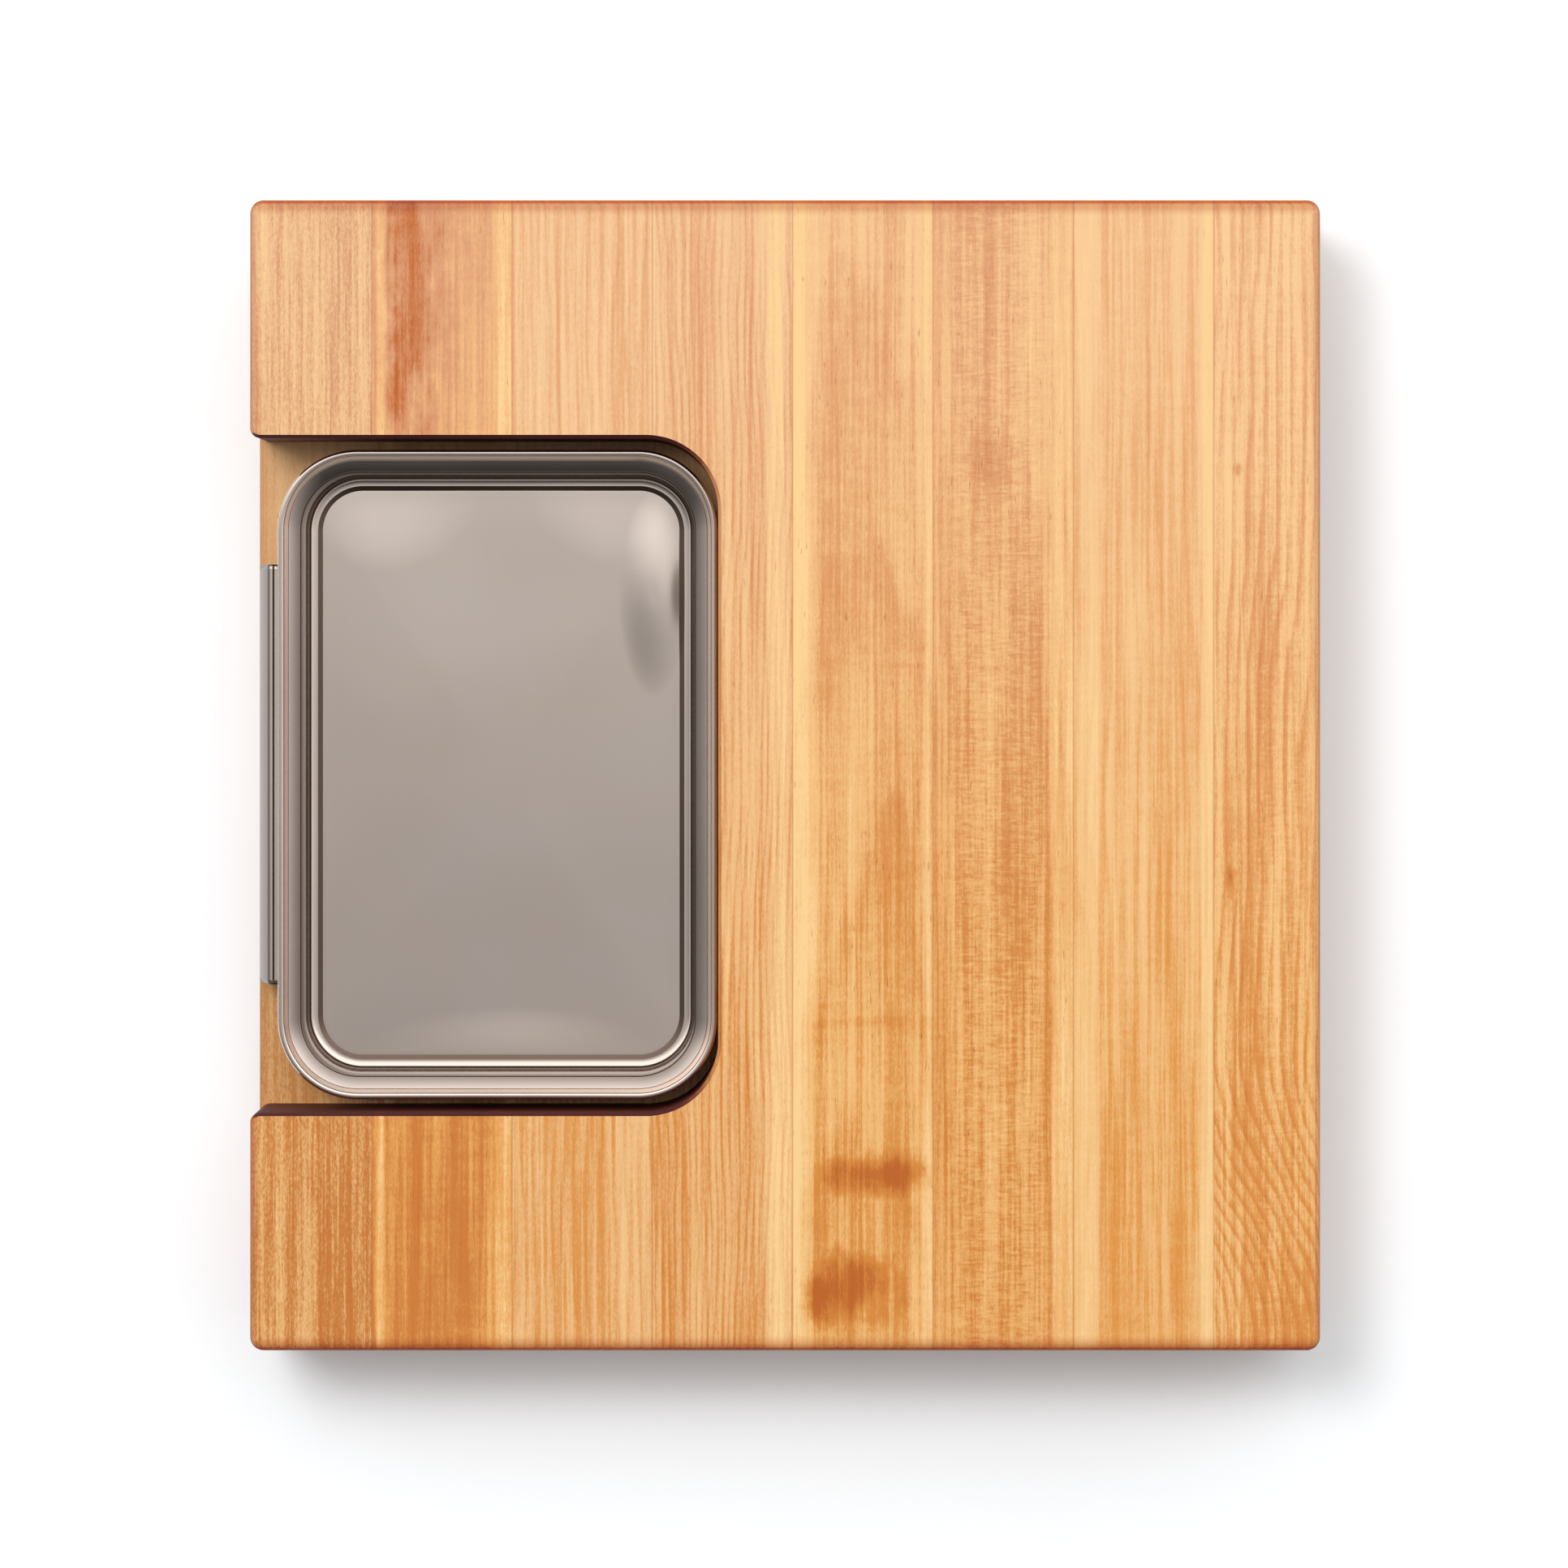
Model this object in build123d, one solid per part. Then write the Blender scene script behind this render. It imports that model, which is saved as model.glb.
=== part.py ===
from build123d import *
import os

# Cutting board with a drawer tray.
#
# A thick block of edge-glued maple staves has a recess milled into its top, open at the front
# face. A pressed stainless tray lies on the floor of the recess, a little below the work surface,
# and slides out to the front by a bent pull. The block stands on four screwed rubber feet.
#
# The front, where the tray comes out, looks along -X. The grain runs along Y, and Z is up.
# The origin is on the table under the middle of the block. All sizes are in millimetres.

# Block
block_length = 430.0  # along the grain, Y
block_width = 400.0  # across the staves, X
block_thickness = 57.0
block_corner = 5.0  # plan radius of the four upright corners
block_round = 3.0  # round-over of the top edges
block_bevel = 2.0  # along the bottom edges
stave_count = 8
front_stave = 45.6  # the two outer staves are trimmed narrower than the rest
back_stave = 40.0

# Recess milled into the block
recess_length = 252.0  # across the mouth, Y
recess_reach = 175.0  # from the front face to the end wall, X
recess_depth = 40.0  # from the work surface down to the ledge that carries the tray
recess_corner = 27.0  # plan radius that the cutter leaves in the two inner corners
mouth_corner = 4.0  # rounding of the two upright corners of the mouth
recess_bevel = 1.2  # the recess's upper edge is eased by that much

# Tray, pressed from one sheet
tray_side_gap = 4.0  # rim to recess wall, at each side
tray_end_gap = 0.5  # rim to end wall, with the tray pushed home
tray_running_gap = 0.1  # underside of the tray to the ledge
tray_rim_drop = 11.0  # work surface down to the top of the rim
tray_corner = 30.0  # plan radius over the rim
tray_sheet = 0.8
rim_width = 3.0  # rolled rim, across
rim_skirt = 2.8  # rolled rim, from its crown to the edge of its skirt
rim_round = 1.4  # outer radius of the roll
rim_bevel = 0.7  # where the roll starts, at the top of the inner wall
seat_drop = 4.6  # top of the rim down to the seat
seat_lean = 1.0  # how far the short wall above the seat leans in
seat_width = 4.2
wall_lean = 2.8  # how far the wall leans in from the seat to the bevel above the base
base_bevel = 1.2

# Pull, bent from one strip and spot-welded under the seat
pull_length = 158.0
pull_reach = 9.2  # rim to the outermost corner of the pull
pull_inset = 0.2  # that corner to the front face of the block
pull_sheet = 1.2
pull_weld = 2.2  # width of the flange that lies under the seat
pull_shelf = 1.9  # flat strip in front of the rim
pull_ridge = 1.4  # height and depth of the ridge above the apron
pull_drop = 16.6  # seat down to the lower edge of the apron
pull_return = 2.8  # lower edge folded back under the apron
pull_bend = 0.9
pull_corner = 3.0  # rounding of the two lower corners, seen from the front

# Feet, with their washers and screws
foot_inset = 35.0  # block faces to the axis of a foot
foot_height = 9.0
foot_radius = 12.5
foot_web = 3.5  # rubber between the washer and the block
well_radius = 5.5  # well that hides the screw head
washer_gap = 0.3  # washer to the wall of the well
washer_thickness = 1.0
screw_radius = 2.0
screw_clearance = 0.25  # shank to the rubber and the washer
screw_length = 16.0  # under the head
screw_head_radius = 3.8
screw_head_height = 2.6
pilot_gap = 0.05  # shank to the wall of its pilot hole
pilot_spare = 1.0  # pilot hole past the tip of the screw
slot_span = 4.4  # cross slot in the head, across its arms
slot_width = 0.9
slot_depth = 1.3

# Places that several pieces share
block_top = foot_height + block_thickness
ledge_top = block_top - recess_depth
front_face = -block_width / 2
end_wall = front_face + recess_reach
tray_length = recess_length - 2 * tray_side_gap
tray_width = recess_reach - tray_end_gap - pull_reach - pull_inset
tray_front = end_wall - tray_end_gap - tray_width
tray_middle = tray_front + tray_width / 2
tray_top = block_top - tray_rim_drop
tray_base = ledge_top + tray_running_gap
seat_level = tray_top - seat_drop  # middle of the sheet at the seat
washer_level = foot_height - foot_web  # upper face of the washer
head_level = washer_level - washer_thickness  # underside of the washer, which the head bears on
foot_x = block_width / 2 - foot_inset
foot_y = block_length / 2 - foot_inset
feet = {
    "front_left": (-foot_x, foot_y),
    "front_right": (-foot_x, -foot_y),
    "back_left": (foot_x, foot_y),
    "back_right": (foot_x, -foot_y),
}


def recess_outline(grow=0.0):
    """Plan of the recess: a U open at the front, its mouth flared by the two rounded corners.

    grow moves the whole wall into the wood by that much.
    """
    half = recess_length / 2
    outside = front_face - block_round
    flare = half + mouth_corner
    side, end = half + grow, end_wall + grow
    mouth_start, mouth_end = front_face + grow, front_face + mouth_corner
    corner_start, corner_end = end_wall - recess_corner, half - recess_corner
    upper = [
        Line((outside, flare), (mouth_start, flare)),
        RadiusArc((mouth_start, flare), (mouth_end, side), grow - mouth_corner),
        Line((mouth_end, side), (corner_start, side)),
        RadiusArc((corner_start, side), (end, corner_end), recess_corner + grow),
    ]
    lower = [mirror(edge, Plane.XZ) for edge in upper]
    closing = [Line((end, corner_end), (end, -corner_end)), Line((outside, -flare), (outside, flare))]
    return make_face(upper + lower + closing)


def pilot_hole():
    """Hole for one foot screw, standing on the underside of the block."""
    depth = screw_length - washer_thickness - foot_web + pilot_spare
    hole = Cylinder(screw_radius + pilot_gap, depth, align=(Align.CENTER, Align.CENTER, Align.MIN))
    return Pos(0, 0, foot_height) * hole


def recess_cutter():
    """The recess as a solid, widening at the top where its upper edge is eased."""
    brim = 2 * recess_bevel
    cutter = Pos(0, 0, ledge_top) * extrude(recess_outline(), recess_depth)
    cutter += Pos(0, 0, block_top) * extrude(recess_outline(brim), brim)
    corners = cutter.edges().filter_by(lambda edge: edge.is_interior).filter_by(Plane.XY)
    return chamfer(corners, recess_bevel)


def make_block():
    """The whole block before it is seen as staves: rounded slab, recess and pilot holes."""
    slab = extrude(RectangleRounded(block_width, block_length, block_corner), block_thickness)
    slab = chamfer(slab.edges().group_by(Axis.Z)[0], block_bevel)
    slab = fillet(slab.edges().group_by(Axis.Z)[-1], block_round)
    slab = Pos(0, 0, foot_height) * slab
    slab -= recess_cutter()
    for x, y in feet.values():
        slab -= Pos(x, y, 0) * pilot_hole()
    return slab


def stave_bounds():
    """X of every glue line, with the front and back faces at the two ends."""
    inner = (block_width - front_stave - back_stave) / (stave_count - 2)
    widths = [front_stave] + [inner] * (stave_count - 2) + [back_stave]
    bounds = [front_face]
    for width in widths:
        bounds.append(bounds[-1] + width)
    return bounds


def make_staves():
    """Cut the block along its glue lines, and number the staves from the front."""
    block = make_block()
    bounds = stave_bounds()
    staves = {}
    for number, (left, right) in enumerate(zip(bounds, bounds[1:]), start=1):
        slice_box = Box(right - left, block_length, block_top, align=Align.MIN)
        staves[f"stave_{number}"] = block & (Pos(left, -block_length / 2, 0) * slice_box)
    return staves


def tray_section():
    """Section of the tray from the edge of the rim's skirt to the edge of the floor.

    The first number of a point is its distance in from the outside of the rim, and the second
    its height above the table. The line is the middle of the sheet, which trace then thickens.
    """
    half = tray_sheet / 2
    inner = rim_width - half
    base = tray_base + half
    seat_start = inner + seat_lean
    wall_top = seat_start + seat_width
    wall_foot = wall_top + wall_lean
    floor_edge = wall_foot + base_bevel
    points = [
        (half, tray_top - rim_skirt),
        (half, tray_top - half),
        (inner, tray_top - half),
        (seat_start, seat_level),
        (wall_top, seat_level),
        (wall_foot, base + base_bevel),
        (floor_edge, base),
        (floor_edge + base_bevel, base),
    ]
    section = trace(Polyline(*points), tray_sheet)
    crown = section.vertices().group_by(Axis.Y)[-1].sort_by(Axis.X)
    section = fillet(crown[0], rim_round)
    crown = section.vertices().group_by(Axis.Y)[-1].sort_by(Axis.X)
    return chamfer(crown[-1], rim_bevel), floor_edge + base_bevel


def make_tray():
    """Carry the section once round the rim's outline and close the middle with the floor."""
    section, floor_edge = tray_section()
    path = Pos(tray_middle, 0, 0) * RectangleRounded(tray_width, tray_length, tray_corner).wire()
    inward = Vector(0, 0, 1).cross(path % 0)
    walls = sweep((Plane(path @ 0, x_dir=inward, z_dir=path % 0) * section).face(), path)
    margin = 2 * floor_edge
    floor = RectangleRounded(tray_width - margin, tray_length - margin, tray_corner - floor_edge)
    return walls + Pos(tray_middle, 0, tray_base) * extrude(floor, tray_sheet)


def pull_section():
    """Section of the pull: weld flange, shelf, ridge, leaning apron and the edge folded back.

    The first number of a point is its distance out from the rim, and the second its height.
    """
    half = pull_sheet / 2
    shelf = seat_level - tray_sheet / 2 - half
    ridge_start = pull_shelf
    ridge = ridge_start + pull_ridge
    apron_foot = pull_reach - half
    lower = seat_level - pull_drop + half
    seat_start = rim_width - tray_sheet / 2 + seat_lean
    points = [
        (-seat_start - pull_weld, shelf),
        (ridge_start, shelf),
        (ridge, shelf + pull_ridge),
        (apron_foot, lower),
        (apron_foot - pull_return, lower),
    ]
    return trace(FilletPolyline(*points, radius=pull_bend), pull_sheet)


def make_pull():
    """Extrude the bent strip along the front of the tray and round its two lower corners."""
    outward = Plane((tray_front, 0, 0), x_dir=(-1, 0, 0), z_dir=(0, 1, 0))
    strip = extrude(outward * pull_section(), pull_length / 2, both=True)
    height = pull_drop + 2 * pull_ridge
    blank = Pos(0, seat_level - pull_drop + height / 2) * Rectangle(pull_length, height)
    blank = fillet(blank.vertices().group_by(Axis.Y)[0], pull_corner)
    front = Plane((tray_front, 0, 0), x_dir=(0, 1, 0), z_dir=(1, 0, 0))
    return strip & extrude(front * blank, tray_width / 2, both=True)


def make_foot():
    """A round rubber foot with a stepped hole, turned about its own axis."""
    hole = screw_radius + screw_clearance
    points = [
        (hole, foot_height),
        (foot_radius, foot_height),
        (foot_radius, 0),
        (well_radius, 0),
        (well_radius, washer_level),
        (hole, washer_level),
    ]
    return revolve(Plane.XZ * make_face(Polyline(*points, close=True)), Axis.Z)


def make_washer():
    """The flat steel washer at the bottom of the foot's well."""
    ring = Circle(well_radius - washer_gap) - Circle(screw_radius + screw_clearance)
    return Pos(0, 0, head_level) * extrude(ring, washer_thickness)


def make_screw():
    """A cylinder-head screw, head down, with a cross slot in its head."""
    tip = head_level + screw_length
    head = head_level - screw_head_height
    points = [
        (0, head),
        (screw_head_radius, head),
        (screw_head_radius, head_level),
        (screw_radius, head_level),
        (screw_radius, tip),
        (0, tip),
    ]
    screw = revolve(Plane.XZ * make_face(Polyline(*points, close=True)), Axis.Z)
    slot = Box(slot_span, slot_width, 2 * slot_depth) + Box(slot_width, slot_span, 2 * slot_depth)
    return screw - Pos(0, 0, head) * slot


def make_feet():
    """A foot, a washer and a screw at each of the four corners."""
    makers = {"foot": make_foot, "foot_washer": make_washer, "foot_screw": make_screw}
    return {
        f"{name}_{corner}": Pos(x, y, 0) * maker()
        for name, maker in makers.items()
        for corner, (x, y) in feet.items()
    }


def main():
    os.makedirs("parts", exist_ok=True)
    pieces = make_staves()
    pieces["drawer_tray"] = make_tray()
    pieces["drawer_pull"] = make_pull()
    pieces.update(make_feet())
    for name, piece in pieces.items():
        export_step(piece, f"parts/{name}.step")
        print(name, len(piece.solids()), round(piece.volume), piece.is_valid)


main()
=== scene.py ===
# %% [markdown]
# # A maple cutting board with a steel drawer tray
#
# The CAD model gives the frame: eight glued staves with a recess milled into them, a tray that
# slides out of it, a bent pull, and four screwed feet. This script gives that frame its looks.
# The staves stay as they are and get wood. The tray, the pull and the feet are made again as
# smooth surfaces, because pressed steel shows every facet in its reflections.

import bpy
import numpy as np
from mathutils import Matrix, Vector


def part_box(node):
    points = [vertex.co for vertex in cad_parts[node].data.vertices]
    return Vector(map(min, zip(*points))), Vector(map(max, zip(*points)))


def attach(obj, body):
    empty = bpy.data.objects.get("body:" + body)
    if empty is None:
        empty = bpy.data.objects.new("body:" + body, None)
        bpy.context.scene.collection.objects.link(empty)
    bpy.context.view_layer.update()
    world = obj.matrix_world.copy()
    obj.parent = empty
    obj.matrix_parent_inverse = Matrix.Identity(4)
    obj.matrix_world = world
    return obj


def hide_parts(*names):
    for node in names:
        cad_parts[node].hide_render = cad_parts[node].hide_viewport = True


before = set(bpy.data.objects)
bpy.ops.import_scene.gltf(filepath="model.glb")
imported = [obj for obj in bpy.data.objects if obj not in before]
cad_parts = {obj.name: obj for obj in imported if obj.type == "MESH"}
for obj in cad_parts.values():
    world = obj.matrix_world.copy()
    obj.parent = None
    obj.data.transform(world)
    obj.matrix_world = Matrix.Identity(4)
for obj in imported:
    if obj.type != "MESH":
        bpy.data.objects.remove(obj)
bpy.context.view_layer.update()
MM = 0.001
STAVES = [f"stave_{number}" for number in range(1, 9)]
CORNERS = ["front_left", "front_right", "back_left", "back_right"]


def box_mm(node):
    """The lowest and highest corner of a CAD node, in millimetres."""
    return [np.array(corner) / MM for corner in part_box(node)]


board_low = np.min([box_mm(name)[0] for name in STAVES], axis=0)
board_high = np.max([box_mm(name)[1] for name in STAVES], axis=0)
tray_low, tray_high = box_mm("drawer_tray")
pull_low, pull_high = box_mm("drawer_pull")
print("board", board_low.round(1), board_high.round(1))
print("tray", tray_low.round(1), tray_high.round(1))

# %% [markdown]
# ## Writing shaders as sums
#
# A wood pattern is arithmetic: distance from the pith, times a scale, plus some noise. Written
# as nodes one by one it is unreadable, so a small class wraps an output socket and lets Python's
# own operators add the Math nodes. Every other node goes through one method, `add`.

# %% Sockets with arithmetic
class Value:
    """An output socket of a node. Arithmetic on it adds Math nodes to the same tree."""

    def __init__(self, nodes, socket):
        self.nodes, self.socket = nodes, socket

    def math(self, operation, *others):
        return self.nodes.add("Math", {"operation": operation}, dict(enumerate((self, *others))))

    def __add__(self, other):
        return self.math("ADD", other)

    def __sub__(self, other):
        return self.math("SUBTRACT", other)

    def __mul__(self, other):
        return self.math("MULTIPLY", other)

    def __rsub__(self, other):
        return self * -1 + other

    def __truediv__(self, other):
        return self.math("DIVIDE", other)

    def __abs__(self):
        return self.math("ABSOLUTE")

    __radd__ = __add__
    __rmul__ = __mul__


class Nodes:
    """A node tree while it is being written."""

    def __init__(self, tree):
        self.tree = tree
        self.tree.nodes.clear()

    def add(self, kind, settings=None, inputs=None, out=0):
        """Add a node: its settings first, then the numbers or links of its sockets."""
        node = self.tree.nodes.new("ShaderNode" + kind)
        for name, value in (settings or {}).items():
            if name == "stops":
                set_stops(node.color_ramp, value)
            else:
                setattr(node, name, value)
        for name, value in (inputs or {}).items():
            if isinstance(value, Value):
                self.tree.links.new(value.socket, node.inputs[name])
            else:
                node.inputs[name].default_value = value
        return Value(self, node.outputs[out]) if len(node.outputs) else None

    def smooth(self, value, low, high, start=0.0, end=1.0):
        """Go smoothly from start to end while the value goes from low to high."""
        return self.add(
            "MapRange",
            {"interpolation_type": "SMOOTHSTEP"},
            {"Value": value, "From Min": low, "From Max": high, "To Min": start, "To Max": end},
        )

    def mix(self, factor, first, second, blend="MIX"):
        """Mix two colours."""
        settings = {"data_type": "RGBA", "blend_type": blend}
        return self.add("Mix", settings, {0: factor, 6: first, 7: second}, out=2)

    def part(self, vector, number):
        """One of the three numbers of a vector."""
        return self.add("SeparateXYZ", None, {0: vector}, out=number)


class Finish(Nodes):
    """The nodes of a material. Patterns are placed in millimetres on the object."""

    def __init__(self, name):
        self.material = bpy.data.materials.new(name)
        self.material.use_nodes = True
        super().__init__(self.material.node_tree)
        self.place = self.scaled(self.add("TexCoord", out="Object"), 1 / MM)

    def scaled(self, vector, scale):
        """A vector times a number, or times three numbers."""
        factors = scale if isinstance(scale, tuple) else (scale,) * 3
        return self.add("VectorMath", {"operation": "MULTIPLY"}, {0: vector, 1: factors})

    def noise(self, scale, seed, detail=2.0, roughness=0.5):
        """Cloudy noise from 0 to 1, with scale in cycles per millimetre along X, Y and Z."""
        return self.add(
            "TexNoise",
            {"noise_dimensions": "4D"},
            {"Vector": self.scaled(self.place, scale), "W": seed, "Scale": 1.0,
             "Detail": detail, "Roughness": roughness},
        )

    def axis(self, number):
        """One coordinate of the place on the object, in millimetres."""
        return self.part(self.place, number)

    def normal(self, number):
        """One coordinate of the direction that the surface faces."""
        return self.part(self.add("NewGeometry", out="Normal"), number)

    def done(self, height=None, depth=0.1, **shader):
        """Close the material with its shader, bumped by a height map whose full depth is in mm."""
        sockets = {name.replace("_", " "): value for name, value in shader.items()}
        if height is not None:
            sockets["Normal"] = self.add(
                "Bump", None, {"Strength": 1.0, "Distance": depth * MM, "Height": height}
            )
        surface = self.add("BsdfPrincipled", None, sockets)
        self.add("OutputMaterial", None, {"Surface": surface})
        return self.material


def set_stops(ramp, stops):
    """Give a colour ramp its stops, each a place and a grey level."""
    while len(ramp.elements) < len(stops):
        ramp.elements.new(0.5)
    for element, (place, level) in zip(ramp.elements, stops):
        element.position = place
        element.color = (level, level, level, 1)


def srgb(red, green, blue):
    """A colour as read on a screen, from 0 to 255, as the linear one that Blender works in."""
    screen = np.array([red, green, blue]) / 255
    linear = np.where(screen <= 0.04045, screen / 12.92, ((screen + 0.055) / 1.055) ** 2.4)
    return (*linear.tolist(), 1.0)


# %% [markdown]
# ## Maple
#
# Each stave is sawn from its own plank, so each gets its own material: where the tree's pith
# lay, how wide the rings are, how much colour the plank has and where. The rings are cylinders
# round the pith, a distance worked out in all three directions. That is why the same pattern
# gives straight lines on the top, arcs on the sawn ends, and a match where two faces meet.

# %% The planks
STAIN = srgb(184, 92, 12)
CREAM = srgb(244, 202, 140)
# painted sheen colour, mixed into the far end of every stave
PAINTED_SHEEN = srgb(247, 216, 192)
FLECK = srgb(160, 78, 24)
# painted light for the shaded floor of the recess
LEDGE_PAINTED_LIGHT = srgb(255, 200, 138)
# a darker tint for sawn ends, rounded edges and a band along the outer edges
EDGE_DARK = srgb(198, 120, 34)
# painted shade for the walls of the recess
RECESS_SHADE = srgb(106, 38, 6)
LEDGE_TOP = 26.0
EDGE_BANDS = [(0, 2.8, 0.25), (1, 5.0, 0.6)]
PLANKS = {
    "stave_1": dict(light=(226, 174, 110), dark=(194, 117, 44), pith=(-60, -260), ring=1.9,
                    rings=0.35, streak=1.0, curl=0.2, fleck=0.4, grain=1.3, shade_slope=0.3),
    "stave_2": dict(light=(226, 160, 82), dark=(200, 120, 46), pith=(-8, -60), ring=3.4,
                    rings=0.4, streak=1.2, curl=0.5, fleck=0.4, grain=0.8, tilt=0.02,
                    stains=[(-139, 195, 14, 80, 1.4), (-143, 150, 5, 30, 0.5),
                            (-126, -175, 12, 40, 0.3)],
                    pale=[(-105, 6, 0.9), (-151, 2, 0.8)]),
    "stave_3": dict(light=(232, 183, 124), dark=(215, 143, 66), pith=(150, -120), ring=2.5,
                    rings=1.2, streak=1.0, curl=0.2, fleck=0.2, grain=0.8, shade_slope=0.1),
    "stave_4": dict(light=(230, 177, 116), dark=(210, 132, 54), pith=(190, -40), ring=2.3,
                    rings=1.4, streak=1.2, curl=0.2, fleck=0.3, grain=0.8, shade_slope=0.1,
                    pale=[(-3, 5, 0.8)]),
    "stave_5": dict(light=(233, 178, 108), dark=(211, 134, 50), pith=(12, -90), ring=3.1,
                    rings=1.0, streak=1.2, curl=0.5, fleck=0.6, grain=0.8, tilt=0.03,
                    stains=[(36, -149, 19, 7, 1.5), (24, -192, 17, 13, 1.7),
                            (14, -196, 4, 10, 0.9), (20, 120, 9, 50, 0.4), (34, -92, 20, 2, 0.3)],
                    pale=[(5, 6, 1.3), (53, 2, 0.6)]),
    "stave_6": dict(light=(231, 172, 100), dark=(207, 128, 48), pith=(-90, -200), ring=2.3,
                    rings=0.5, streak=1.4, curl=0.4, fleck=0.5, grain=0.8,
                    lace=(80, 24, 1.6), stains=[(76, 118, 10, 14, 0.5)],
                    pale=[(102, 4, 0.6), (107, 2, 0.8)]),
    "stave_7": dict(light=(236, 184, 118), dark=(220, 146, 62), pith=(-160, -150), ring=3.3,
                    rings=0.7, streak=1.2, curl=0.4, fleck=0.15, grain=0.7, shade_slope=0.1,
                    pale=[(113, 5, 0.7), (158, 3.5, 1.1)]),
    "stave_8": dict(light=(239, 188, 120), dark=(216, 139, 60), pith=(90, -60), ring=2.6,
                    rings=1.6, streak=1.0, curl=0.4, fleck=0.5, grain=0.8, tilt=0.012, lean=-36,
                    shade_slope=0.2, lace=(184, 12, 0.7),
                    stains=[(190, -205, 22, 30, 0.35), (166, -38, 2, 6, 1.0),
                            (169, 114, 1.5, 3, 1.0)]),
}


# %% [markdown]
# The pattern is built from coarse to fine. Broad streaks run along the plank, rings give the
# pinstripes and arches, curl ripples across them, and fibres and flecks are the smallest marks.
# Stains and pale sapwood are soft spots and bands placed one by one, with edges that wander.
# Sawn ends, rounded edges and a band along the outer edges come out darker. The walls of the
# recess get painted shade, a dark brown for the shade deep in the narrow gap, and its floor gets
# painted light. A painted sheen pales the far end of the board and painted shade darkens the near
# end.

# %% Wood
def ring_lines(finish, plank, middle, seed):
    """Late wood: the distance from the pith, wobbling along the plank, counted in rings."""
    pith_x, pith_z = plank["pith"]
    lean = finish.smooth(finish.axis(1), board_low[1], -100, plank.get("lean", 0), 0)
    wobble = finish.noise((0.02, 0.005, 0.02), seed + 1) * 22 + lean
    across = finish.axis(0) - (middle + pith_x) + wobble
    up = finish.axis(2) - pith_z
    distance = (across * across + up * up).math("SQRT")
    tilt = finish.axis(1) * plank.get("tilt", 0.004)
    along = tilt + finish.noise((0.05, 0.012, 0.05), seed + 2) * 5
    part = ((distance + along) / plank["ring"]).math("FRACT")
    stops = [(0.0, 0.1), (0.4, 0.15), (0.82, 1.0), (1.0, 0.1)]
    return finish.add("ValToRGB", {"stops": stops}, {0: part})


def glue_lines(finish, low, high):
    """A hairline along both long edges of a stave, where it was glued to the next one."""
    x = finish.axis(0)
    left = finish.smooth(abs(x - low), 0.05, 0.45, 1.0, 0.0)
    right = finish.smooth(abs(x - high), 0.05, 0.45, 1.0, 0.0)
    return left + right


def spots(finish, places, seed, fray=2.4):
    """Soft ovals (x, y, half width, half length, strength), added up, with frayed edges."""
    frayed = (finish.noise((0.12, 0.05, 0.12), seed, detail=4, roughness=0.6) - 0.5) * fray
    total = 0.0
    for x, y, wide, long, strength in places:
        across = (finish.axis(0) - x) / wide
        along = (finish.axis(1) - y) / long
        away = (across * across + along * along).math("SQRT") + frayed
        total = finish.smooth(away, 0.1, 1.5, strength, 0.0) + total
    return total


def bands(finish, places, seed):
    """Soft bands along the plank (x, half width, strength), added up, with wandering edges."""
    wander = finish.noise((0.05, 0.008, 0.05), seed, detail=3) * 6 - 3
    total = 0.0
    for x, wide, strength in places:
        away = abs(finish.axis(0) - x + wander)
        total = finish.smooth(away, 0.0, wide * 1.4, strength, 0.0) + total
    return total


def lace(finish, place, seed):
    """Ray flakes: short marks across the grain, in one band of the plank."""
    middle, wide, strength = place
    flakes = finish.noise((0.22, 1.0, 0.22), seed, detail=2, roughness=0.6) - 0.5
    return flakes * finish.smooth(abs(finish.axis(0) - middle), wide * 0.5, wide, strength, 0.0)


def shaded_recess_walls(finish):
    """1 on the sawn faces inside the recess, which get painted shade for the deep shade of the
    narrow gap.
    """
    inside = finish.smooth(abs(finish.axis(1)), tray_high[1] + 6, tray_high[1] + 8, 1.0, 0.0)
    sawn = finish.smooth(abs(finish.normal(1)), 0.2, 0.7)
    return inside * sawn * finish.smooth(finish.axis(2), LEDGE_TOP - 1, LEDGE_TOP + 1)


def ledge_light(finish):
    """How far painted light lightens the floor of the recess, more towards the lamp."""
    low_down = finish.smooth(finish.axis(2), LEDGE_TOP + 4, LEDGE_TOP + 1)
    return low_down * finish.smooth(finish.axis(1), -160, 60, 0.15, 0.5)


def darkened_edges(finish, end_grain):
    """How far the wood is darkened: sawn ends, rounded edges and a soft band inside them."""
    edge = finish.smooth(finish.normal(2), 0.5, 0.98, 0.7, 0.0)
    facing_up = finish.smooth(finish.normal(2), 0.0, 0.3, 0.45, 1.0)
    share = end_grain.math("MAXIMUM", edge) * facing_up
    for number, wide, most in EDGE_BANDS:
        outside = board_high[number] - 1.5
        near = finish.smooth(abs(finish.axis(number)), outside - wide, outside, 0.0, most)
        share = share.math("MAXIMUM", near)
    return share


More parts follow.
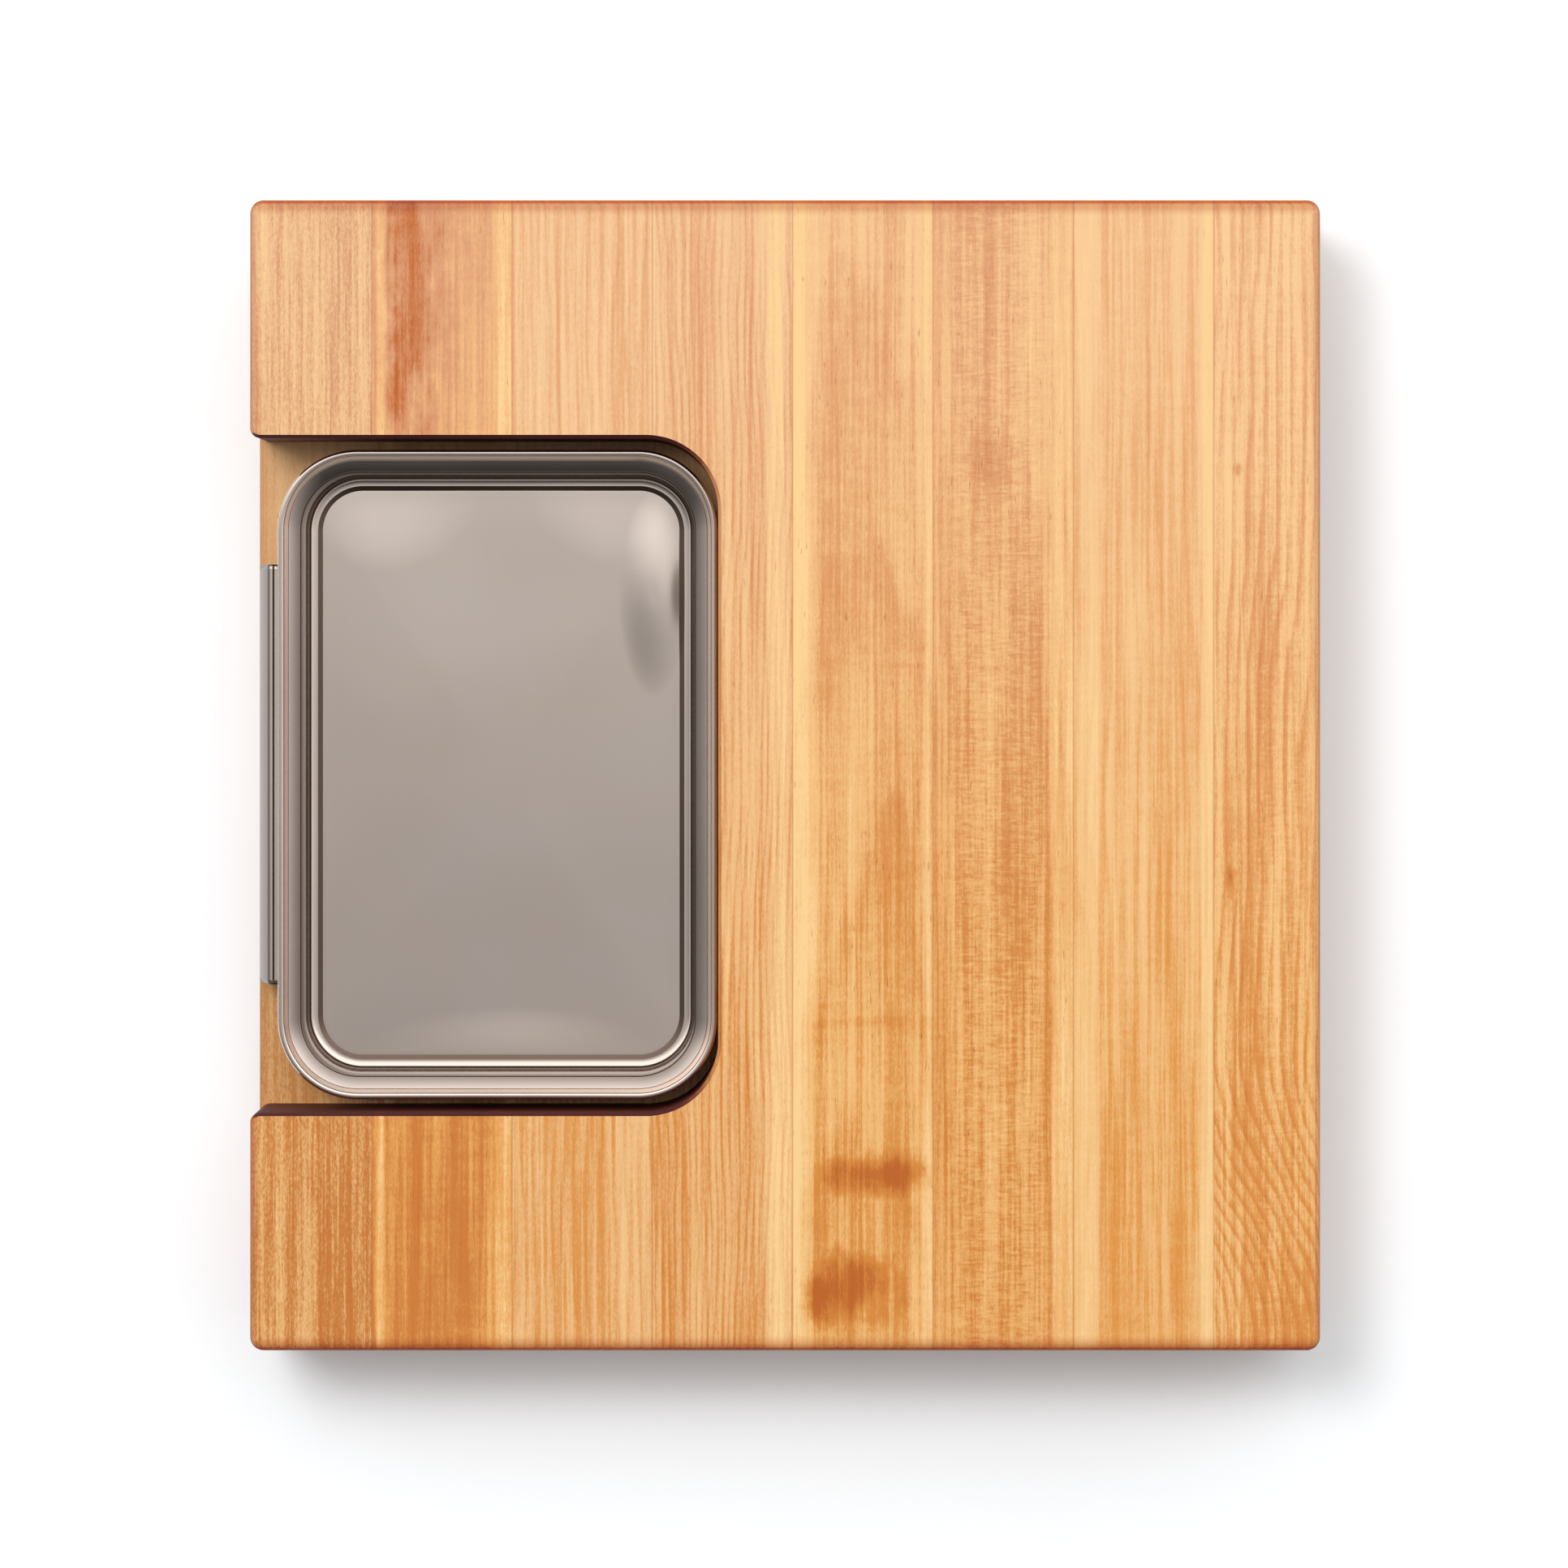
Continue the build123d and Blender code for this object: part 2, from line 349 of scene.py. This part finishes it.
def maple(name, plank, seed):
    """The whole wood of one stave."""
    finish = Finish(f"maple_{name}")
    low, high = box_mm(name)
    rings = ring_lines(finish, plank, (low[0] + high[0]) / 2, seed)
    streak = finish.noise((0.1, 0.006, 0.1), seed, detail=3) - 0.5
    thread = finish.noise((0.75, 0.012, 0.75), seed + 6, detail=3) - 0.5
    curl = finish.noise((0.07, 0.3, 0.07), seed + 3) - 0.5
    fibre = finish.noise((1.5, 0.05, 1.5), seed + 4, detail=3, roughness=0.7)
    speckle = finish.noise((1.9, 0.7, 1.9), seed + 5, detail=2)
    tone = (
        0.45
        + streak * (plank["streak"] * 1.5)
        + thread * 2.2
        + (rings - 0.4) * (plank["rings"] * 0.38)
        + curl * plank["curl"]
        + (fibre + speckle - 1.0) * (plank["grain"] * 1.3)
        # painted shade and sheen: the tone darkens towards the near end and lightens towards the
        # far end, by each plank's slope
        + finish.smooth(finish.axis(1), 210, -210, -0.5, 0.5) * plank.get("shade_slope", 0.1)
    )
    if "lace" in plank:
        tone = tone + lace(finish, plank["lace"], seed + 7)
    if "pale" in plank:
        tone = tone - bands(finish, plank["pale"], seed + 8)
    if "stains" in plank:
        tone = tone + spots(finish, plank["stains"], seed + 9)
    colour = finish.mix(finish.smooth(tone, 0.0, 1.0), srgb(*plank["light"]), srgb(*plank["dark"]))
    # painted sheen: towards the far end the colour is mixed towards a pale cream, for the lamp's
    # sheen
    colour = finish.mix(finish.smooth(finish.axis(1), -120, 215, 0.0, 0.24), colour, PAINTED_SHEEN)
    colour = finish.mix(finish.smooth(tone, 0.8, 2.3), colour, STAIN)
    colour = finish.mix(finish.smooth(tone, 0.2, -0.8), colour, CREAM)
    # painted light: the floor of the recess is mixed towards a light orange, more on the lamp's
    # side
    colour = finish.mix(ledge_light(finish), colour, LEDGE_PAINTED_LIGHT)
    pins = finish.noise((1.3, 0.16, 1.3), seed + 5, detail=1)
    fleck = finish.smooth(pins, 0.66, 0.78, 0.0, plank["fleck"])
    seam = glue_lines(finish, low[0], high[0])
    colour = finish.mix(fleck.math("MAXIMUM", seam * 0.35), colour, FLECK)
    end_grain = finish.smooth(abs(finish.normal(1)), 0.1, 0.7)
    # sawn ends and edges are darkened, and the walls of the recess get painted shade
    for share, dark_tint in ((darkened_edges(finish, end_grain), EDGE_DARK), (shaded_recess_walls(finish), RECESS_SHADE)):
        colour = finish.mix(share, colour, finish.mix(1.0, colour, dark_tint, "MULTIPLY"))
    return finish.done(
        height=fibre * 0.6 + rings * 0.25 - fleck * 0.6,
        depth=0.05,
        Base_Color=colour,
        Roughness=0.4 + fibre * 0.1 + end_grain * 0.2,
        Specular_IOR_Level=0.6,
    )


for order, (name, plank) in enumerate(PLANKS.items()):
    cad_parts[name].data.materials.clear()
    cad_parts[name].data.materials.append(maple(name, plank, 10.0 * order + 3))
print("planks:", len(PLANKS))

# %% [markdown]
# ## Sheet steel
#
# The tray is pressed from one thin sheet and the pull is bent from a strip of the same steel.
# A sheet part is easiest to describe by its section, a line with rounded bends, and the path
# that the section follows. Only the middle of the sheet is computed. Solidify gives it its
# thickness afterwards, the same everywhere, as a real sheet has.

# %% A line with rounded bends
def bent_line(points, radii, step=8):
    """Replace each inner corner of a line by an arc that touches both of its sides.

    A bend of radius r that turns by an angle a starts r * tan(a / 2) before the corner. Its
    centre lies r away from both sides, on the line that halves the corner.
    """
    points = np.array(points, float)
    out = [points[:1]]
    for before, corner, after, radius in zip(points, points[1:], points[2:], radii):
        come, go = corner - before, after - corner
        come, go = come / np.linalg.norm(come), go / np.linalg.norm(go)
        turn = np.arccos(np.clip(come @ go, -1, 1))
        start = corner - come * radius * np.tan(turn / 2)
        side = go - come * (go @ come)
        side = side / np.linalg.norm(side)
        angle = np.linspace(0, turn, step)[:, None]
        out.append(start + radius * (np.sin(angle) * come + (1 - np.cos(angle)) * side))
    return np.vstack(out + [points[-1:]])


def skin(name, grid, closed=True, capped=False):
    """Make a mesh from a grid of points, in millimetres, with four corners to a face.

    grid[i, j] is point j of row i. A closed grid joins its last column to the first, and a
    capped one has its last row filled by one flat face.
    """
    rows, columns = grid.shape[:2]
    index = np.arange(rows * columns).reshape(rows, columns)
    right = np.roll(index, -1, axis=1) if closed else index[:, 1:]
    here = index if closed else index[:, :-1]
    faces = np.stack([here[:-1], right[:-1], right[1:], here[1:]], axis=-1).reshape(-1, 4)
    faces = faces.tolist() + ([index[-1].tolist()] if capped else [])
    mesh = bpy.data.meshes.new(name)
    mesh.from_pydata((grid.reshape(-1, 3) * MM).tolist(), [], faces)
    mesh.polygons.foreach_set("use_smooth", np.ones(len(faces), bool))
    piece = bpy.data.objects.new(name, mesh)
    bpy.context.scene.collection.objects.link(piece)
    print(name, len(faces), "faces")
    return piece


def dress(piece, material, body, node):
    """Give a piece its finish, let it ride on its body and show it in place of a CAD node."""
    piece.data.materials.append(material)
    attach(piece, body)
    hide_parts(node)


def thicken(piece, thickness):
    """Turn a surface into a sheet with that surface in its middle."""
    sheet = piece.modifiers.new("sheet", "SOLIDIFY")
    sheet.thickness = thickness * MM
    sheet.offset = 0.0
    sheet.use_even_offset = True


# %% [markdown]
# Polished sheet is never quite flat or clean. A slow swell in the surface makes the reflections
# cloudy, and rolling and wiping leave the gloss and the tint a little uneven. The upright faces
# low in the tray get painted shade, a darker colour for the dark surroundings that they reflect.
# The same finish suits both pieces.

# %% Steel
# the last colour is painted shade for the upright walls of the tray
WARM, COOL, WALL_SHADE = srgb(230, 210, 196), srgb(230, 219, 211), srgb(102, 89, 82)


def steel(name, seed, dents, shade_top):
    """Polished stainless sheet with a slow swell, dents, rolling lines and faint wipe marks.

    Upright faces low in the tray, below the given height, get painted shade standing in for the
    dark surroundings that they reflect.
    """
    finish = Finish(name)
    rolled = finish.noise((1.5, 0.02, 1.5), seed, detail=2)
    wiped = finish.noise((0.02, 0.03, 0.02), seed + 1, detail=3)
    swell = finish.noise((0.011, 0.009, 0.011), seed + 2, detail=1)
    colour = finish.mix(wiped * 0.8 + rolled * 0.2, WARM, COOL)
    up = finish.axis(2)
    lift = finish.smooth(up, shade_top - 18.0, shade_top - 10.0, 0.0, 0.1)
    upright = finish.smooth(finish.normal(2) - lift, 0.9, 0.77)
    # painted shade: upright faces low in the tray are darkened, for the dark surroundings they
    # reflect
    shaded_wall = upright * finish.smooth(up, shade_top, shade_top - 4.0)
    return finish.done(
        height=swell + spots(finish, dents, seed + 3, fray=0.0),
        depth=1.2,
        Base_Color=finish.mix(shaded_wall * 0.9, colour, WALL_SHADE),
        Metallic=1.0,
        Roughness=0.12 + wiped * 0.06 + rolled * 0.03,
    )


# %% [markdown]
# ## The tray
#
# From outside to inside the sheet makes a rolled rim, drops to a narrow leaning seat, goes down
# to a flat ring and steps up to the floor. Each line of the section is carried round the same
# rounded rectangle, moved inwards by its own distance. Moving a rounded rectangle inwards keeps
# the centres of its corners, so every column of the grid stays square to the rim. The dents are
# spots (x, y, half width, half length, strength). Those below zero are hollows.

# %% Tray
TRAY_CORNER = 30.0
TRAY_SHEET = 0.8
TRAY_CROWN = 0.7
# the painted shade on the tray's walls starts this far below the rim
SHADE_BELOW_RIM = 1.5
DENTS = [
    (-50, 68, 9, 26, 1.4), (-152, 116, 26, 26, -0.7), (-68, 116, 20, 24, -0.4),
    (-104, -110, 40, 14, 0.5),
]


def rounded_rectangle(low, high, radius, corner_points=28, side_points=24):
    """Points round a rounded rectangle, and the outward direction at each.

    Each corner is a quarter circle about a centre one radius inside both sides, and each side
    is shared out evenly between two corners.
    """
    signs = np.array([[1, 1], [-1, 1], [-1, -1], [1, -1]])
    centres = np.where(signs > 0, high[:2], low[:2]) - radius * signs
    points, outward = [], []
    for quarter in range(4):
        angle = np.linspace(quarter, quarter + 1, corner_points) * np.pi / 2
        ring = np.stack([np.cos(angle), np.sin(angle)], axis=1)
        arc = centres[quarter] + radius * ring
        following = centres[(quarter + 1) % 4] + radius * ring[-1]
        share = np.linspace(0, 1, side_points + 2)[1:-1, None]
        points += [arc, arc[-1] + share * (following - arc[-1])]
        outward += [ring, np.repeat(ring[-1:], side_points, axis=0)]
    return np.vstack(points), np.vstack(outward)


def tray_section():
    """Distance in from the rim's outside and height, along the middle of the sheet."""
    half = TRAY_SHEET / 2
    top, base = tray_high[2] - half, tray_low[2] + half
    points = [
        (half, top - 2.4), (half, top), (1.9, top), (3.6, top - 3.0), (8.2, top - 5.1),
        (8.6, base), (12.9, base), (14.7, base + 0.6), (17.0, base + 0.6),
    ]
    return bent_line(points, [0.8, 0.8, 1.2, 0.9, 3.8, 1.2, 1.2])


def tray_grid():
    """Carry the section round the rim, then shrink the last row towards the middle of the floor.

    The floor rises to a low crown: at a share s of the way out it stands 1 - s^2 of its height.
    """
    outline, outward = rounded_rectangle(tray_low, tray_high, TRAY_CORNER)
    section = tray_section()
    inset = outline[None] - section[:, 0, None, None] * outward[None]
    height = np.repeat(section[:, 1, None], len(outline), axis=1)
    walls = np.concatenate([inset, height[..., None]], axis=2)
    middle = walls[-1].mean(axis=0)
    shrink = np.linspace(1, 0, 26)[1:-1, None, None]
    floor = middle + shrink * (walls[-1] - middle)
    floor[..., 2] += TRAY_CROWN * (1 - shrink[..., 0] ** 2)
    return np.concatenate([walls, floor])


steel_sheet = steel("polished_steel", 3.0, DENTS, tray_high[2] - SHADE_BELOW_RIM)
tray = skin("tray", tray_grid(), capped=True)
thicken(tray, TRAY_SHEET)
dress(tray, steel_sheet, "drawer", "drawer_tray")

# %% [markdown]
# ## The pull
#
# A strip bent three times: one flat part that is a flange spot-welded under the seat of the tray
# and a narrow shelf in front of the rim, a ridge that stiffens it, and a leaning apron whose lower
# edge is folded back so that it doesn't cut the fingers. Its two lower corners are rounded.

# %% Pull
PULL_SHEET = 1.2
PULL_CORNER = 3.0


def pull_section():
    """Distance out from the rim and height, along the middle of the strip."""
    half = PULL_SHEET / 2
    shelf = tray_high[2] - 5.0 - half
    lower = pull_low[2] + half
    reach = tray_low[0] - pull_low[0] - half
    points = [
        (-5.8, shelf), (1.9, shelf), (3.3, shelf + 1.4), (reach, lower), (reach - 2.8, lower),
    ]
    return bent_line(points, [0.9, 0.9, 0.9])


def pull_grid(columns=90):
    """Carry the section along the tray's front, shorter where the lower corners are rounded.

    At a height h above the lower edge, a corner of radius r takes r - sqrt(r^2 - (r - h)^2)
    off the half length.
    """
    section = pull_section()
    below = PULL_CORNER - np.clip(section[:, 1] - pull_low[2], 0, PULL_CORNER)
    reach = pull_high[1] - PULL_CORNER + np.sqrt(PULL_CORNER**2 - below**2)
    along = np.linspace(-1, 1, columns)
    x = np.repeat(tray_low[0] - section[:, 0, None], columns, axis=1)
    z = np.repeat(section[:, 1, None], columns, axis=1)
    return np.stack([x, reach[:, None] * along, z], axis=2)


pull = skin("pull", pull_grid(), closed=False)
thicken(pull, PULL_SHEET)
dress(pull, steel_sheet, "drawer", "drawer_pull")

# %% [markdown]
# ## Feet, washers and screws
#
# A turned part is a profile carried round an axis. The foot's profile is a closed line: up the
# outside, over the face that meets the wood, and down the stepped hole. The washers and screws
# keep their CAD shapes, which are already right, and only get a finish.

# %% Feet
def rubber():
    """Matt moulded rubber with a fine grain and dust on the edges."""
    finish = Finish("black_rubber")
    grain = finish.noise((1.6, 1.6, 1.6), 1.0, detail=3)
    dust = finish.noise((0.15, 0.15, 0.15), 2.0, detail=3)
    dusty = finish.smooth(dust, 0.45, 0.8, 0.0, 0.6)
    colour = finish.mix(dusty, srgb(34, 33, 32), srgb(74, 71, 68))
    return finish.done(height=grain, depth=0.03, Base_Color=colour, Roughness=0.7 + grain * 0.2)


def zinc():
    """Zinc-plated steel, bright with a faint yellow bloom."""
    finish = Finish("zinc_plate")
    bloom = finish.noise((0.5, 0.5, 0.5), 5.0, detail=3)
    colour = finish.mix(finish.smooth(bloom, 0.35, 0.7), srgb(200, 202, 206), srgb(206, 198, 176))
    rough = 0.3 + bloom * 0.2
    return finish.done(height=bloom, depth=0.02, Base_Color=colour, Metallic=1.0, Roughness=rough)


def turned(profile, centre, columns=72):
    """Carry a line of radii and heights round an upright axis: x = r cos a and y = r sin a."""
    angle = np.linspace(0, 2 * np.pi, columns, endpoint=False)
    radius, height = profile[:, 0, None], np.repeat(profile[:, 1, None], columns, axis=1)
    x, y = centre[0] + radius * np.cos(angle), centre[1] + radius * np.sin(angle)
    return np.stack([x, y, height], axis=2)


def foot_profile(low, high):
    """The foot's outside with soft edges, then its well and its screw hole, back to the start."""
    radius = (high[0] - low[0]) / 2
    points = [
        (2.25, high[2]), (radius, high[2]), (radius - 0.9, low[2]), (5.5, low[2]),
        (5.5, high[2] - 3.5), (2.25, high[2] - 3.5), (2.25, high[2]),
    ]
    return bent_line(points, [0.5, 1.1, 0.5, 0.2, 0.2])


black_rubber, zinc_plate = rubber(), zinc()
for corner in CORNERS:
    low, high = box_mm(f"foot_{corner}")
    foot = skin(f"rubber_foot_{corner}", turned(foot_profile(low, high), (low + high) / 2))
    dress(foot, black_rubber, "board", f"foot_{corner}")
    for kind in ("foot_washer", "foot_screw"):
        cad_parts[f"{kind}_{corner}"].data.materials.clear()
        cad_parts[f"{kind}_{corner}"].data.materials.append(zinc_plate)

# %% [markdown]
# ## Studio
#
# The board lies on a white sheet under a soft lamp at the top left of the picture. The lamp
# itself is hidden from mirror reflections, so the surround is all that the steel shows. It is
# brightest behind the board, darkest in front of it, and dim near the table, which gives the
# walls of the tray their light and dark lines. The sheet is white by its own colour, and only the
# camera sees it a trace lighter, so the board's shadow stays on it.

# %% Floor
REACH = 4000.0
floor_grid = np.array([[[x, y, 0.0] for x in (REACH, -REACH)] for y in (-REACH, REACH)])
floor = skin("floor", floor_grid, closed=False)
LIFT = (0.07, 0.085, 0.09, 1.0)
paper = Finish("white_paper")
seen = paper.add("LightPath", out="Is Camera Ray")
tooth = paper.noise((0.02, 0.02, 0.02), 1.0)
paper.done(
    Base_Color=paper.mix(tooth, (0.97, 0.985, 1.0, 1.0), (0.95, 0.965, 0.98, 1.0)),
    Roughness=0.9,
    Emission_Color=paper.mix(seen, (0.0, 0.0, 0.0, 1.0), LIFT),
    Emission_Strength=1.0,
)
floor.data.materials.append(paper.material)

# %% Surround and lamp
OVERHEAD, TO_RIGHT, TO_FRONT, BACK_GLOW = 0.52, 0.22, 0.85, 0.9
RING, HORIZON, DARKEST = 0.5, 0.12, 0.08
world = bpy.data.worlds.new("surround")
world.use_nodes = True
bpy.context.scene.world = world
surround = Nodes(world.node_tree)
direction = surround.add("TexCoord", out="Generated")
east, north, up = (surround.part(direction, number) for number in range(3))
level = east * TO_RIGHT + north.math("MINIMUM", 0.0) * TO_FRONT + OVERHEAD
level = level + surround.smooth(north, -0.05, 0.4, 0.0, BACK_GLOW)
level = level.math("MAXIMUM", DARKEST) + surround.smooth(up, 0.62, 0.5, 0.0, RING)
level = level + (HORIZON - level) * surround.smooth(up, 0.42, 0.3)
level = level.math("MAXIMUM", surround.add("LightPath", out="Is Camera Ray"))
glow = surround.add("Background", None, {"Color": (1.0, 1.0, 1.0, 1.0), "Strength": level})
surround.add("OutputWorld", None, {"Surface": glow})


def lamp(name, place, aim, size, power):
    """A soft square lamp, in metres, turned to face a point."""
    data = bpy.data.lights.new(name, "AREA")
    data.size, data.energy = size, power
    light = bpy.data.objects.new(name, data)
    light.location = place
    light.rotation_euler = (Vector(aim) - Vector(place)).to_track_quat("-Z", "Y").to_euler()
    light.visible_glossy = False
    bpy.context.scene.collection.objects.link(light)


lamp("key", (-0.9, 0.85, 2.6), (0, 0, 0), 1.0, 34)

# %% [markdown]
# ## Camera
#
# The photograph looks straight down. The camera's own axis meets the board above its middle,
# which shows in how the walls of the recess lean, so the picture is shifted to bring the board
# back to the middle. Distance and lens go together: from two metres up, one picture point is
# 0.303 mm on the top of the board.

# %% Camera
PICTURE = 1932
POINT = 0.303 * MM
AXIS_X, AXIS_Y = 955, 780
BOARD_X, BOARD_Y = 967.4, 955.5
ABOVE_TOP = 1.94
data = bpy.data.cameras.new("camera")
data.sensor_width = 36.0
data.lens = 36.0 * ABOVE_TOP / POINT / PICTURE
data.shift_x = (PICTURE / 2 - AXIS_X) / PICTURE
data.shift_y = (AXIS_Y - PICTURE / 2) / PICTURE
camera = bpy.data.objects.new("camera", data)
camera.location = (
    (AXIS_X - BOARD_X) * POINT,
    (BOARD_Y - AXIS_Y) * POINT,
    board_high[2] * MM + ABOVE_TOP,
)
bpy.context.scene.collection.objects.link(camera)
bpy.context.scene.camera = camera
bpy.context.scene.view_settings.view_transform = "Standard"
print("lens", round(data.lens, 1), "mm, shift", round(data.shift_x, 4), round(data.shift_y, 4))
